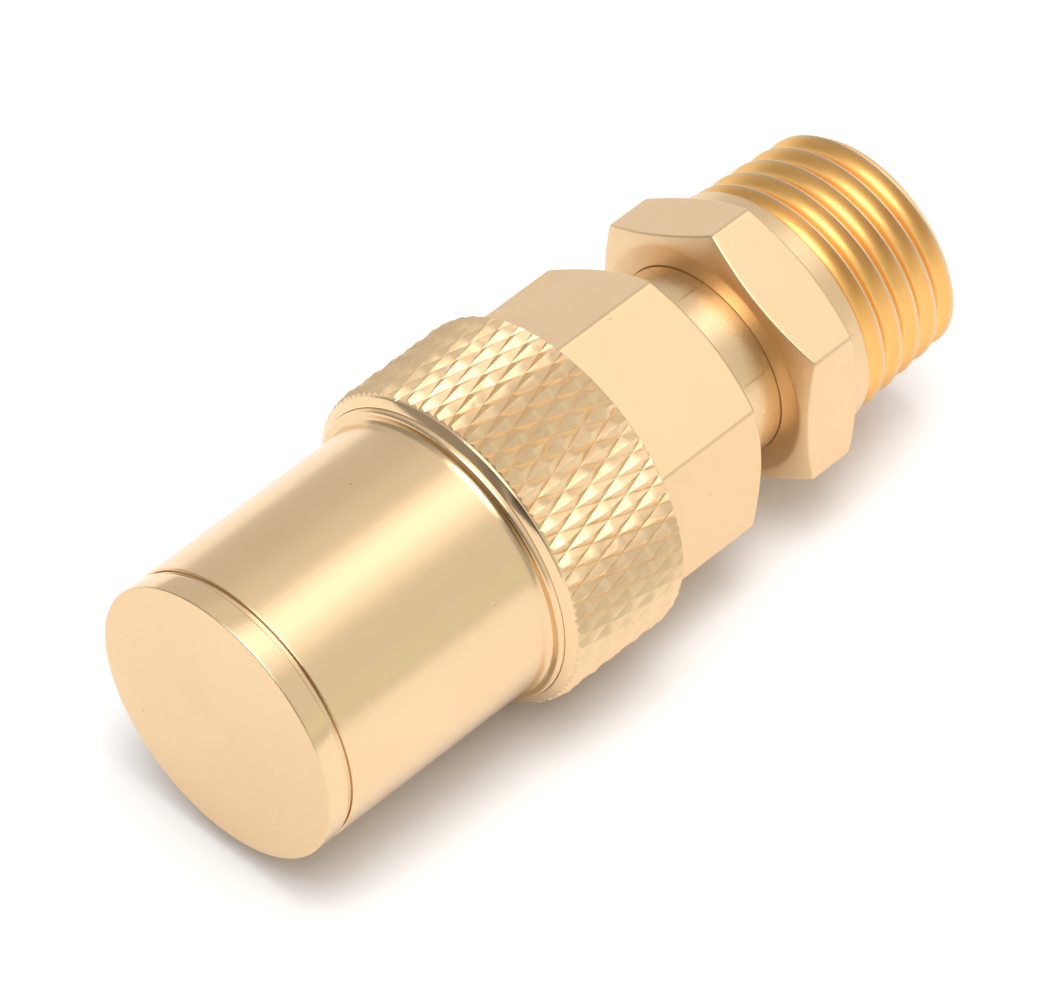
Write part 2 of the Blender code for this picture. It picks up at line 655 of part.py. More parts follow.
def make_check(materials, poppet_group, adapter_group):
    """The shut-off plunger with its seal, spring and perforated retainer."""
    outline = [
        (CHECK_STEM_TIP, 0),
        (CHECK_STEM_TIP, CHECK_STEM_RADIUS),
        (CHECK_SEAL_FRONT - LOOSE_GAP, CHECK_STEM_RADIUS),
        (CHECK_SEAL_FRONT - LOOSE_GAP, CHECK_SEAL_SEAT_RADIUS),
        (CHECK_HEAD_FRONT, CHECK_SEAL_SEAT_RADIUS),
        (CHECK_HEAD_FRONT, CHECK_HEAD_RADIUS),
        (CHECK_HEAD_BACK, CHECK_HEAD_RADIUS),
        (CHECK_HEAD_BACK, 0),
    ]
    poppet = turned("check_poppet", outline, INNER_STEPS, materials["brass"], poppet_group)
    slot = (CHECK_STEM_TIP - CHECK_SLOT_DEPTH, CHECK_STEM_TIP + CHECK_SLOT_DEPTH)
    reach = 2 * CHECK_HEAD_RADIUS
    cut_box(poppet, "plunger_slot_tall", *slot, CHECK_SLOT_WIDTH, reach)
    cut_box(poppet, "plunger_slot_wide", *slot, reach, CHECK_SLOT_WIDTH)
    seal = ring(CHECK_SEAL_FRONT, CHECK_SEAL_BACK, CHECK_SEAL_SEAT_RADIUS + RUNNING_GAP, CHECK_HEAD_RADIUS)
    turned("check_seal", seal, INNER_STEPS, materials["rubber"], poppet_group)
    spring_radius = CHECK_HEAD_RADIUS - CHECK_SPRING_WIRE
    coil(
        "check_spring",
        CHECK_HEAD_BACK + LOOSE_GAP,
        RETAINER_FRONT - LOOSE_GAP,
        spring_radius,
        CHECK_SPRING_WIRE,
        CHECK_SPRING_TURNS,
        materials["steel"],
        adapter_group,
    )
    outside = CHECK_CHAMBER_RADIUS + RETAINER_GROOVE_DEPTH - RUNNING_GAP
    perforated(
        "spring_retainer",
        RETAINER_FRONT,
        RETAINER_BACK,
        AIR_HOLE_RADIUS,
        outside,
        outside / 2,
        materials["steel"],
        adapter_group,
    )


def main():
    clear_scene()
    materials = {
        "brass": finish("turned_brass", (0.80, 0.62, 0.36), 0.3, 1.0),
        "brass_deep": finish("threaded_brass", (0.78, 0.56, 0.30), 0.32, 1.0),
        "rubber": finish("seal_rubber", (0.03, 0.03, 0.03), 0.7, 0.0),
        "fibre": finish("hygroscopic_fibre", (0.72, 0.63, 0.48), 0.9, 0.0),
        "plastic": finish("guide_plastic", (0.85, 0.85, 0.82), 0.5, 0.0),
        "steel": finish("spring_steel", (0.62, 0.62, 0.64), 0.3, 1.0),
    }
    adapter = group("adapter_axis")
    neck = group("neck_axis", adapter)
    head = group("head_axis", neck)
    poppet = group("poppet_axis", adapter)
    stem = group("stem_axis", head)
    washer = group("cap_washer_axis", head)
    cap = group("cap_axis", washer)
    make_cap(materials, cap)
    make_cap_washer(materials, washer)
    make_sleeve(materials, head)
    make_body(materials, head)
    make_stack(materials, head, stem)
    make_stem(materials, stem)
    make_guide(materials, head)
    make_seat(materials, head)
    make_neck_seal(materials, neck)
    make_adapter(materials, adapter)
    make_check(materials, poppet, adapter)


main()
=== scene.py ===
import json
import math

import bmesh
import bpy
from mathutils import Matrix, Vector, noise as smoothNoise


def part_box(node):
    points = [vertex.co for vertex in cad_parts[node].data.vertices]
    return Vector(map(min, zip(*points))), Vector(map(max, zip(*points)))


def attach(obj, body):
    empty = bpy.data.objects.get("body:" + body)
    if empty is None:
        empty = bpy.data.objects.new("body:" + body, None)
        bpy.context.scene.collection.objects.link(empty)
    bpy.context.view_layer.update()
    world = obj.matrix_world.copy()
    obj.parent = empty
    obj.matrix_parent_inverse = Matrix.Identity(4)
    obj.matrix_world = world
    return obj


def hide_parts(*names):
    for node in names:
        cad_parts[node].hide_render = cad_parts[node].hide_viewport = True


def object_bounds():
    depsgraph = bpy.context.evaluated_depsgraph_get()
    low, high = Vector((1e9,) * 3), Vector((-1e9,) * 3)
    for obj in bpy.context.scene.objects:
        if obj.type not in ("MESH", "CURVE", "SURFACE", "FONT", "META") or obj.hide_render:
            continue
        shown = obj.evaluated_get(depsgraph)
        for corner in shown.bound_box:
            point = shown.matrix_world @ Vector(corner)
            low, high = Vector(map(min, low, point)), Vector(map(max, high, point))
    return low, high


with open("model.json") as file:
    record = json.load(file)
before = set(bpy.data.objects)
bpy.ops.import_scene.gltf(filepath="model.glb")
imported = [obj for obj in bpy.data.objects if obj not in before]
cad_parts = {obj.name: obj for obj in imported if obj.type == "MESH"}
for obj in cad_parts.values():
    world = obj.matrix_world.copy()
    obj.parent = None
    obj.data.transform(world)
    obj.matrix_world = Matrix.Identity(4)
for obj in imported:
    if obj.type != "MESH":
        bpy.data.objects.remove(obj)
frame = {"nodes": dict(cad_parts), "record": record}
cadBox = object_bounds()
mm = 0.001
print("frame loaded:", len(frame["nodes"]), "nodes")

# Places along the long axis (X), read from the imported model. The cap faces -X, the thread +X.
capLow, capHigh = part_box("end_cap")
sleeveLow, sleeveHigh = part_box("chamber_sleeve")
bodyLow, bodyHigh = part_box("vent_body")
adapterLow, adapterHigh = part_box("adapter")
retainerLow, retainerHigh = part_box("spring_retainer")
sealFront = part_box("check_seal")[0].x
neckSealLow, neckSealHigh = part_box("neck_seal")
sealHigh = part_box("sleeve_seal")[1]
clipLow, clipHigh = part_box("cage_clip")

sharedSizes = {
    "capThickness": 1.3 * mm,
    "acrossFlats": 14.0 * mm,
    "neckRadius": 5.3 * mm,
    "spigotRadius": 4.5 * mm,
    "hexEdgeRound": 0.28 * mm,  # rounding of the hexagons' long edges
    "lipInset": 0.2 * mm,  # the sleeve's lip stands this far inside its outside
    "seam": 0.03 * mm,  # gap at the cap's lip and round the neck
    "flangeSeam": 0.012 * mm,  # gap round the sleeve's flange
    "turnedSteps": 192,
    "curveSteps": 4,  # pieces of a small rounding
    "mergeWithin": 0.0005 * mm,
    "sliverLength": 0.0001 * mm,
    "sharpAngle": 32,
}

sleeveRadius = capHigh.z
gripRadius = bodyHigh.z
capBack = capLow.x + sharedSizes["capThickness"]
sleeveTop = sleeveLow.x
bodyFront = bodyLow.x
adapterFront = adapterLow.x
lipRadius = sleeveRadius - sharedSizes["lipInset"]
threadEnd = adapterHigh.x


def softened(corners):
    # corners are (station, radius, rounding); each corner becomes a small curve
    segments = sharedSizes["curveSteps"]
    longestShare = 0.45  # a rounding takes at most this share of a side
    points = []
    count = len(corners)
    for i, (x, r, size) in enumerate(corners):
        here = Vector((x, r))
        if size <= 0:
            points.append((x, r))
            continue
        before = Vector(corners[i - 1][:2]) - here
        after = Vector(corners[(i + 1) % count][:2]) - here
        toBefore = before.normalized() * min(size, before.length * longestShare)
        toAfter = after.normalized() * min(size, after.length * longestShare)
        for step in range(segments + 1):
            t = step / segments
            point = here + toBefore * (1 - t) ** 2 + toAfter * t**2
            points.append((point.x, point.y))
    return points


def cleanForm(form):
    bmesh.ops.remove_doubles(form, verts=form.verts, dist=sharedSizes["mergeWithin"])
    bmesh.ops.dissolve_degenerate(form, edges=form.edges, dist=sharedSizes["sliverLength"])


def columnForm(outlineAt, angles):
    # one closed outline per angle, joined all the way round the long axis
    form = bmesh.new()
    columns = []
    for angle in angles:
        column = []
        for station, radius in outlineAt(angle):
            place = (station, radius * math.sin(angle), radius * math.cos(angle))
            column.append(form.verts.new(place))
        columns.append(column)
    rows = len(columns[0])
    for i, column in enumerate(columns):
        following = columns[(i + 1) % len(columns)]
        for j in range(rows):
            k = (j + 1) % rows
            form.faces.new((column[j], column[k], following[k], following[j]))
    cleanForm(form)
    bmesh.ops.recalc_face_normals(form, faces=form.faces)
    return form


def turnedForm(corners):
    outline = softened(corners)
    steps = sharedSizes["turnedSteps"]
    angles = [math.tau * i / steps for i in range(steps)]
    return columnForm(lambda angle: outline, angles)


def lastFlatAngle():
    # how far from a flat's middle its rounded edge starts
    half = sharedSizes["acrossFlats"] / 2
    return math.atan((half - sharedSizes["hexEdgeRound"]) * math.tan(math.pi / 6) / half)


def hexRadius(angle):
    # distance to the hexagon's surface; its corners point along +Z and -Z and are slightly rounded
    half = sharedSizes["acrossFlats"] / 2
    rounding = sharedSizes["hexEdgeRound"]
    fromFlat = abs((angle % (math.pi / 3)) - math.pi / 6)
    lastFlat = lastFlatAngle()
    if fromFlat <= lastFlat:
        return half / math.cos(fromFlat)
    fromCorner = math.pi / 6 - fromFlat
    centre = (half - rounding) / math.cos(math.pi / 6)
    return centre * math.cos(fromCorner) + math.sqrt(
        rounding**2 - (centre * math.sin(fromCorner)) ** 2
    )


def hexAngles(flatSteps=20, cornerSteps=6):
    lastFlat = lastFlatAngle()
    angles = []
    for flat in range(6):
        middle = flat * math.pi / 3 + math.pi / 6
        for i in range(flatSteps):
            angles.append(middle - lastFlat + 2 * lastFlat * i / flatSteps)
        width = math.pi / 3 - 2 * lastFlat
        for i in range(cornerSteps):
            angles.append(middle + lastFlat + width * i / cornerSteps)
    return angles


def bevelStation(face, inward, radius, edge):
    # where a turned bevel on a hexagon's end face meets a given radius
    return face + inward * max(0.0, radius - edge["radius"]) * edge["slope"]


def toMesh(form, name):
    mesh = bpy.data.meshes.new(name)
    form.to_mesh(mesh)
    form.free()
    return mesh


def combine(first, second, operation):
    # a Boolean of two closed meshes, applied; both are used up
    base = bpy.data.objects.new("base", first)
    tool = bpy.data.objects.new("tool", second)
    for thing in (base, tool):
        bpy.context.scene.collection.objects.link(thing)
    modifier = base.modifiers.new("combine", "BOOLEAN")
    modifier.operation = operation
    modifier.solver = "EXACT"
    modifier.object = tool
    graph = bpy.context.evaluated_depsgraph_get()
    result = bpy.data.meshes.new_from_object(base.evaluated_get(graph))
    for thing in (base, tool):
        bpy.data.objects.remove(thing, do_unlink=True)
    return result


def addPiece(name, mesh, material, body, node, sharpAngle=sharedSizes["sharpAngle"]):
    mesh.name = name
    mesh.materials.clear()
    mesh.materials.append(material)
    mesh.shade_smooth()
    mesh.set_sharp_from_angle(angle=math.radians(sharpAngle))
    piece = bpy.data.objects.new(name, mesh)
    bpy.context.scene.collection.objects.link(piece)
    weights = piece.modifiers.new("evenShading", "WEIGHTED_NORMAL")
    weights.keep_sharp = True
    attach(piece, body)
    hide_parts(node)
    print(name, "made:", len(mesh.polygons), "faces")
    return piece


def startMaterial(name):
    material = bpy.data.materials.new(name)
    material.use_nodes = True
    tree = material.node_tree
    return material, tree, tree.nodes["Principled BSDF"]


def addNode(tree, kind, **settings):
    node = tree.nodes.new(kind)
    for key, value in settings.items():
        setattr(node, key, value)
    return node


def millimetres(tree):
    # object coordinates in millimetres
    place = addNode(tree, "ShaderNodeTexCoord")
    scale = addNode(tree, "ShaderNodeVectorMath", operation="SCALE")
    scale.inputs["Scale"].default_value = 1 / mm
    tree.links.new(place.outputs["Object"], scale.inputs[0])
    return scale.outputs["Vector"]


def stretched(tree, position, stretch):
    scale = addNode(tree, "ShaderNodeVectorMath", operation="MULTIPLY")
    scale.inputs[1].default_value = stretch
    tree.links.new(position, scale.inputs[0])
    return scale.outputs["Vector"]


def distanceFromAxis(tree, position):
    flat = stretched(tree, position, (0, 1, 1))
    length = addNode(tree, "ShaderNodeVectorMath", operation="LENGTH")
    tree.links.new(flat, length.inputs[0])
    return length.outputs["Value"]


def alongAxis(tree, position):
    split = addNode(tree, "ShaderNodeSeparateXYZ")
    tree.links.new(position, split.inputs[0])
    return split.outputs["X"]


def noise(tree, position, scale, detail=3.0, roughness=0.5, distortion=0.0):
    node = addNode(tree, "ShaderNodeTexNoise")
    node.inputs["Scale"].default_value = scale
    node.inputs["Detail"].default_value = detail
    node.inputs["Roughness"].default_value = roughness
    node.inputs["Distortion"].default_value = distortion
    tree.links.new(position, node.inputs["Vector"])
    return node.outputs["Fac"]


def lineNoise(tree, value, scale, detail=4.0):
    node = addNode(tree, "ShaderNodeTexNoise", noise_dimensions="1D")
    node.inputs["Scale"].default_value = scale
    node.inputs["Detail"].default_value = detail
    node.inputs["Roughness"].default_value = 0.7
    tree.links.new(value, node.inputs["W"])
    return node.outputs["Fac"]


noiseRange = (0.3, 0.7)  # most of a noise's values lie between these


def remap(tree, value, fromLow, fromHigh, toLow, toHigh):
    node = addNode(tree, "ShaderNodeMapRange", clamp=True)
    for socket, number in zip(
        ("From Min", "From Max", "To Min", "To Max"), (fromLow, fromHigh, toLow, toHigh)
    ):
        node.inputs[socket].default_value = number
    tree.links.new(value, node.inputs["Value"])
    return node.outputs["Result"]


def window(tree, value, low, high, edge):
    # 1 between low and high, easing to 0 over the edge
    rise = remap(tree, value, low - edge, low + edge, 0, 1)
    fall = remap(tree, value, high - edge, high + edge, 1, 0)
    for end in (rise, fall):
        end.node.interpolation_type = "SMOOTHSTEP"
    return combineValues(tree, "MULTIPLY", rise, fall)


def mixColours(tree, factor, low, high):
    node = addNode(tree, "ShaderNodeMix", data_type="RGBA")
    if isinstance(low, tuple):
        node.inputs[6].default_value = (*low, 1)
    else:
        tree.links.new(low, node.inputs[6])
    node.inputs[7].default_value = (*high, 1)
    tree.links.new(factor, node.inputs[0])
    return node.outputs[2]


def combineValues(tree, operation, first, second):
    node = addNode(tree, "ShaderNodeMath", operation=operation)
    for socket, value in zip(node.inputs, (first, second)):
        if isinstance(value, (int, float)):
            socket.default_value = value
        else:
            tree.links.new(value, socket)
    return node.outputs["Value"]


def addBump(tree, shader, height, distance, strength=1.0):
    bump = addNode(tree, "ShaderNodeBump")
    bump.inputs["Distance"].default_value = distance
    bump.inputs["Strength"].default_value = strength
    tree.links.new(height, bump.inputs["Height"])
    earlier = shader.inputs["Normal"]
    if earlier.is_linked:
        tree.links.new(earlier.links[0].from_socket, bump.inputs["Normal"])
    tree.links.new(bump.outputs["Normal"], shader.inputs["Normal"])


def paintedReflectionShare(tree, position):
    # 1 in the thread's grooves, 0 on its crests, which narrow evenly towards the end; it places
    # the painted reflection, deeper gold standing in for light bounced between the flanks
    start, end = threadSizes["startRadius"], threadSizes["endRadius"]
    shoulder = adapterFront + adapterSizes["shoulder"]
    narrowing = (start - end) / (threadEnd - shoulder)
    reach = combineValues(tree, "MULTIPLY", alongAxis(tree, position), narrowing)
    reach = combineValues(tree, "ADD", reach, distanceFromAxis(tree, position))
    crest = (start + shoulder * narrowing) / mm
    full, first = threadSizes["paintedReflectionFrom"]
    below = remap(tree, reach, crest - full, crest - first, 1, 0)
    begin = shoulder / mm
    onThread = remap(tree, alongAxis(tree, position), begin, begin + threadSizes["paintedReflectionEase"], 0, 1)
    return combineValues(tree, "MULTIPLY", below, onThread)


def brass(name, looks):
    material, tree, shader = startMaterial(name)
    position = millimetres(tree)
    shader.inputs["Metallic"].default_value = 1.0
    shader.inputs["Anisotropic"].default_value = looks["stretchOfGloss"]
    if looks["stretchOfGloss"] > 0:
        tangent = addNode(tree, "ShaderNodeTangent", direction_type="RADIAL", axis="X")
        tree.links.new(tangent.outputs["Tangent"], shader.inputs["Tangent"])

    # slow drift of tone and a few darker specks
    drift = noise(tree, position, looks["driftScale"], detail=2.0)
    share = remap(tree, drift, *noiseRange, 0, 1)
    tone = mixColours(tree, share, looks["colour"], looks["secondColour"])
    cells = addNode(tree, "ShaderNodeTexVoronoi")
    cells.inputs["Scale"].default_value = looks["speckScale"]
    tree.links.new(position, cells.inputs["Vector"])
    size = looks["speckSize"]
    speck = remap(tree, cells.outputs["Distance"], size * 0.4, size, 1, 0)
    patches = noise(tree, position, looks["patchScale"], detail=1.0)
    rare = remap(tree, patches, *looks["patchEdge"], 0, 1)
    specks = combineValues(tree, "MULTIPLY", speck, rare)
    tone = mixColours(tree, specks, tone, looks["speckColour"])
    # painted reflection: deeper gold in the thread's grooves, standing in for light bounced
    # between the flanks
    if looks["paintedGrooveReflection"]:
        tone = mixColours(tree, paintedReflectionShare(tree, position), tone, looks["paintedGrooveReflection"])
    tree.links.new(tone, shader.inputs["Base Color"])

    # tool marks: rings round the axis, or circles on a faced end
    if looks["marks"] == "round":
        course = alongAxis(tree, position)
    else:
        course = distanceFromAxis(tree, position)
    lines = lineNoise(tree, course, looks["markScale"])
    grain = noise(tree, stretched(tree, position, looks["grainStretch"]), looks["grainScale"])
    cloud = noise(tree, position, looks["cloudScale"], detail=4.0)
    fromLines, fromCloud = (remap(tree, value, *noiseRange, -1, 1) for value in (lines, cloud))
    gloss = combineValues(tree, "ADD", fromLines, fromCloud)
    middle, spread = looks["roughness"], looks["roughnessSpread"]
    roughness = remap(tree, gloss, -2, 2, middle - spread, middle + spread)
    for start, end, extra in looks["finishes"]:
        # a stretch along the axis, in millimetres, that is duller or more polished than the rest
        stretch = window(tree, alongAxis(tree, position), start, end, 0.02)
        change = combineValues(tree, "MULTIPLY", stretch, extra)
        roughness = combineValues(tree, "ADD", roughness, change)
    tree.links.new(roughness, shader.inputs["Roughness"])
    addBump(tree, shader, grain, looks["grainDepth"])
    addBump(tree, shader, lines, looks["markDepth"])
    addBump(tree, shader, specks, -looks["speckDepth"])
    return material


def plainStuff(name, looks):
    # rubber, fibre, plastic and steel: cloudy colour, fine grain
    material, tree, shader = startMaterial(name)
    position = millimetres(tree)
    shader.inputs["Metallic"].default_value = looks["metallic"]
    shader.inputs["Sheen Weight"].default_value = looks["sheen"]
    course = stretched(tree, position, looks["stretch"])
    cloud = noise(tree, course, looks["cloudScale"], detail=5.0, distortion=looks["swirl"])
    share = remap(tree, cloud, 0.35, 0.65, 0, 1)
    tone = mixColours(tree, share, looks["colour"], looks["secondColour"])
    tree.links.new(tone, shader.inputs["Base Color"])
    grain = noise(tree, course, looks["grainScale"], detail=4.0)
    low, high = looks["roughness"]
    tree.links.new(remap(tree, grain, *noiseRange, low, high), shader.inputs["Roughness"])
    addBump(tree, shader, grain, looks["grainDepth"])
    return material


brassLooks = {
    "colour": (0.795, 0.573, 0.338),
    "secondColour": (0.78, 0.557, 0.32),
    # no painted groove reflection on plain brass
    "paintedGrooveReflection": None,
    "driftScale": 0.16,
    "speckScale": 0.8,
    "speckSize": 0.07,
    "speckColour": (0.5, 0.32, 0.13),
    "speckDepth": 0.012 * mm,
    "patchScale": 0.31,  # specks come in patches
    "patchEdge": (0.56, 0.6),
    "cloudScale": 1.7,
    "marks": "round",
    "markScale": 9.0,
    "markDepth": 0.0012 * mm,
    "grainStretch": (1, 1, 1),
    "grainScale": 14.0,
    "grainDepth": 0.0006 * mm,
    "roughness": 0.24,
    "roughnessSpread": 0.04,
    "finishes": (),
    "stretchOfGloss": 0.0,
}

innerBrass = brass("innerBrass", {**brassLooks, "roughness": 0.32, "markScale": 14.0})

stuffLooks = {
    "seal_rubber": {
        "colour": (0.018, 0.018, 0.019),
        "secondColour": (0.032, 0.031, 0.03),
        "metallic": 0.0,
        "sheen": 0.15,
        "stretch": (1, 1, 1),
        "swirl": 0.3,
        "cloudScale": 2.2,
        "grainScale": 22.0,
        "grainDepth": 0.01 * mm,
        "roughness": (0.5, 0.75),
    },
    "hygroscopic_fibre": {
        "colour": (0.62, 0.5, 0.32),
        "secondColour": (0.48, 0.36, 0.21),
        "metallic": 0.0,
        "sheen": 0.3,
        "stretch": (1, 1, 3.5),
        "swirl": 1.2,
        "cloudScale": 4.5,
        "grainScale": 18.0,
        "grainDepth": 0.03 * mm,
        "roughness": (0.8, 0.95),
    },
    "guide_plastic": {
        "colour": (0.78, 0.78, 0.74),
        "secondColour": (0.7, 0.7, 0.65),
        "metallic": 0.0,
        "sheen": 0.0,
        "stretch": (1, 1, 1),
        "swirl": 0.6,
        "cloudScale": 0.7,
        "grainScale": 16.0,
        "grainDepth": 0.006 * mm,
        "roughness": (0.34, 0.5),
    },
    "spring_steel": {
        "colour": (0.66, 0.66, 0.68),
        "secondColour": (0.56, 0.565, 0.58),
        "metallic": 1.0,
        "sheen": 0.0,
        "stretch": (0.4, 3, 3),
        "swirl": 0.0,
        "cloudScale": 1.2,
        "grainScale": 9.0,
        "grainDepth": 0.004 * mm,
        "roughness": (0.2, 0.34),
    },
}
stuffs = {slotName: plainStuff(slotName, looks) for slotName, looks in stuffLooks.items()}
print("inner materials made")


capSizes = {
    "edgeRound": 0.1 * mm,
    "lipRecess": 0.35 * mm,  # depth of the groove that the sleeve's lip enters
    "recessDepth": 0.6 * mm,
    "recessRadius": 5.6 * mm,
    "studRadius": 2.4 * mm,
    "studRound": 0.25 * mm,
    "dish": 0.02 * mm,  # the face is this much hollow in the middle
    "dishShare": 0.8,
    "dishRound": 0.5 * mm,
    "tightRound": 0.02 * mm,
}

facedBrass = brass(
    "facedCapBrass",
    {
        **brassLooks,
        "marks": "face",
        "stretchOfGloss": 0.55,
        "roughness": 0.3,
        "markScale": 7.0,
        "finishes": ((capLow.x / mm + 0.06, capBack / mm + 0.1, -0.18),),  # polished rim
    },
)


def makeEndCap():
    sizes = capSizes
    front = capLow.x
    recess = capBack - sizes["recessDepth"]
    lipFloor = capBack - sizes["lipRecess"]
    lipWall = lipRadius + sharedSizes["seam"]
    edge, tight = sizes["edgeRound"], sizes["tightRound"]
    corners = [
        (front + sizes["dish"], 0, 0),
        (front, sleeveRadius * sizes["dishShare"], sizes["dishRound"]),
        (front, sleeveRadius, edge),
        (capBack, sleeveRadius, edge),
        (capBack, lipWall, tight),
        (lipFloor, lipWall, tight),
        (lipFloor, sizes["recessRadius"], edge),
        (recess, sizes["recessRadius"], edge),
        (recess, sizes["studRadius"], edge),
        (capHigh.x, sizes["studRadius"], sizes["studRound"]),
        (capHigh.x, 0, 0),
    ]
    mesh = toMesh(turnedForm(corners), "capDisc")
    addPiece("capDisc", mesh, facedBrass, "cap", "end_cap")


sleeveSizes = {
    "topRound": 0.12 * mm,
    "lipHeight": 0.4 * mm,
    "lipInside": 6.9 * mm,
    "flangeStep": 0.22 * mm,  # the flange stands this far out of the body
    "flangeThickness": 1.8 * mm,
    "flangeEdge": 0.08 * mm,
    "flangeRound": 0.2 * mm,
    "footFillet": 0.5 * mm,
    "outletRadius": 3.2 * mm,
    "outletRound": 0.15 * mm,
    "endWall": 1.0 * mm,
    "endRound": 0.3 * mm,
    "bore": 6.45 * mm,
    "skirtRadius": 7.05 * mm,
    "edgeRound": 0.1 * mm,
    "lipRound": 0.05 * mm,
    "lipFoot": 0.06 * mm,
    "clipGroove": 0.25 * mm,
    "clipGap": 0.1 * mm,
}

cylinderBrass = brass("turnedCylinderBrass", brassLooks)


def makeSleeve():
    sizes = sleeveSizes
    flangeRadius = sleeveHigh.z - sharedSizes["flangeSeam"]
    flangeFace = bodyFront - sizes["flangeStep"]
    flangeBack = bodyFront + sizes["flangeThickness"]
    lipFront = sleeveTop - sizes["lipHeight"]
    skirtEnd = sleeveHigh.x
    grooveFront = clipLow.x - sizes["clipGap"]
    grooveBack = clipHigh.x + sizes["clipGap"]
    grooveRadius = sizes["bore"] + sizes["clipGroove"]
    inside = sleeveTop + sizes["endWall"]
    edge, lipRound = sizes["edgeRound"], sizes["lipRound"]
    corners = [
        (sleeveTop, sizes["outletRadius"], sizes["outletRound"]),
        (sleeveTop, sizes["lipInside"], edge),
        (lipFront, sizes["lipInside"], lipRound),
        (lipFront, lipRadius, lipRound),
        (sleeveTop, lipRadius, sizes["lipFoot"]),
        (sleeveTop, sleeveRadius, sizes["topRound"]),
        (flangeFace, sleeveRadius, sizes["footFillet"]),
        (flangeFace, flangeRadius, sizes["flangeRound"]),
        (flangeBack, flangeRadius, sizes["flangeEdge"]),
        (flangeBack, sizes["skirtRadius"], lipRound),
        (skirtEnd, sizes["skirtRadius"], edge),
        (skirtEnd, sizes["bore"], edge),
        (grooveBack, sizes["bore"], 0),
        (grooveBack, grooveRadius, 0),
        (grooveFront, grooveRadius, 0),
        (grooveFront, sizes["bore"], 0),
        (inside, sizes["bore"], sizes["endRound"]),
        (inside, sizes["outletRadius"], edge),
    ]
    mesh = toMesh(turnedForm(corners), "sleeveTube")
    addPiece("sleeveTube", mesh, cylinderBrass, "head", "chamber_sleeve")


gripSizes = {
    "length": 7.3 * mm,
    "landLength": 0.5 * mm,  # from the body's front to the first teeth
    "landRadius": 8.7 * mm,
    "rimSetback": 0.1 * mm,  # the rim's bevel starts this far behind the front
    "bevelEnd": 0.1 * mm,
    "rimLip": 0.5 * mm,
    "toothStart": 0.16 * mm,
    "backBevel": 0.3 * mm,
    "seatRadius": 8.4 * mm,
    "seatGap": 0.15 * mm,
    "bore": 7.25 * mm,
    "passage": 2.6 * mm,
    "floorWall": 0.7 * mm,
    "joinOverlap": 0.2 * mm,
    "edgeRound": 0.05 * mm,
    "bevelRound": 0.06 * mm,
    "landRound": 0.02 * mm,
    "toothRound": 0.03 * mm,
    "boreRound": 0.1 * mm,
    "sharpAngle": 28,
}

knurlSizes = {
    "teeth": 56,
    "period": 2.85 * mm,  # length of a diamond along the axis
    "depth": 0.29 * mm,
    "wallShare": 0.96,  # share of a diamond that its walls take up
    "reach": 1.4 * mm,  # the roller is longer than the grip by this much at each end
    "hubDepth": 0.2 * mm,
    "turn": 0.35,
    "wander": 0.035 * mm,  # unevenness of the rolled teeth
    "wanderScales": ((0.8, 9, 1.0), (2.6, 23, 0.6)),  # along, around, strength
    # share of a tooth at each grid line, closer together at the grooves and their walls
    "shares": (0, 0.05, 0.15, 0.27, 0.4, 0.5, 0.6, 0.73, 0.85, 0.95),
}

bodyHexSizes = {
    "length": 7.5 * mm,
    "overlap": 0.35 * mm,
    "edge": {"radius": 6.65 * mm, "slope": 0.5},
    "edgeRound": 0.12 * mm,
    "neckFillet": 0.15 * mm,
    "socketDepth": 0.7 * mm,
    "shoulderRound": 0.08 * mm,
    "spigotRound": 0.05 * mm,
    "grooveRound": 0.04 * mm,
    "grooveDepth": 1.35 * mm,
    "grooveGap": 0.15 * mm,
    "noseLength": 0.6 * mm,
    "noseRound": 0.15 * mm,
    "nosePassage": 1.6 * mm,
}

hexStart, hexEnd = bodyFront / mm + 7.8, bodyFront / mm + 15.3  # the hexagon, in millimetres
gripBrass = brass(
    "knurledBrass",
    {
        **brassLooks,
        "roughness": 0.33,
        "markDepth": 0.0005 * mm,
        "markScale": 5.0,
        "grainDepth": 0.0012 * mm,
        "grainScale": 6.0,
        # polished rim, dull hexagon, smoother neck
        "finishes": (
            (-99, bodyFront / mm + 0.5, -0.21),
            (hexStart, hexEnd, 0.08),
            (hexEnd + 0.02, 99, -0.04),
        ),
    },
)


def knurlHeight(u, v):
    # 0 in the grooves, 1 on the tops of the diamonds
    fromGroove = min(1 - abs(2 * (share % 1) - 1) for share in (u, v))
    return min(1.0, fromGroove / knurlSizes["wallShare"])


def wanderAt(station, angle):
    # slow and quick unevenness over the rolled surface
    total = 0.0
    for along, around, strength in knurlSizes["wanderScales"]:
        place = (station / mm * along, around * math.sin(angle), around * math.cos(angle))
        total += strength * smoothNoise.noise(place)
    return total


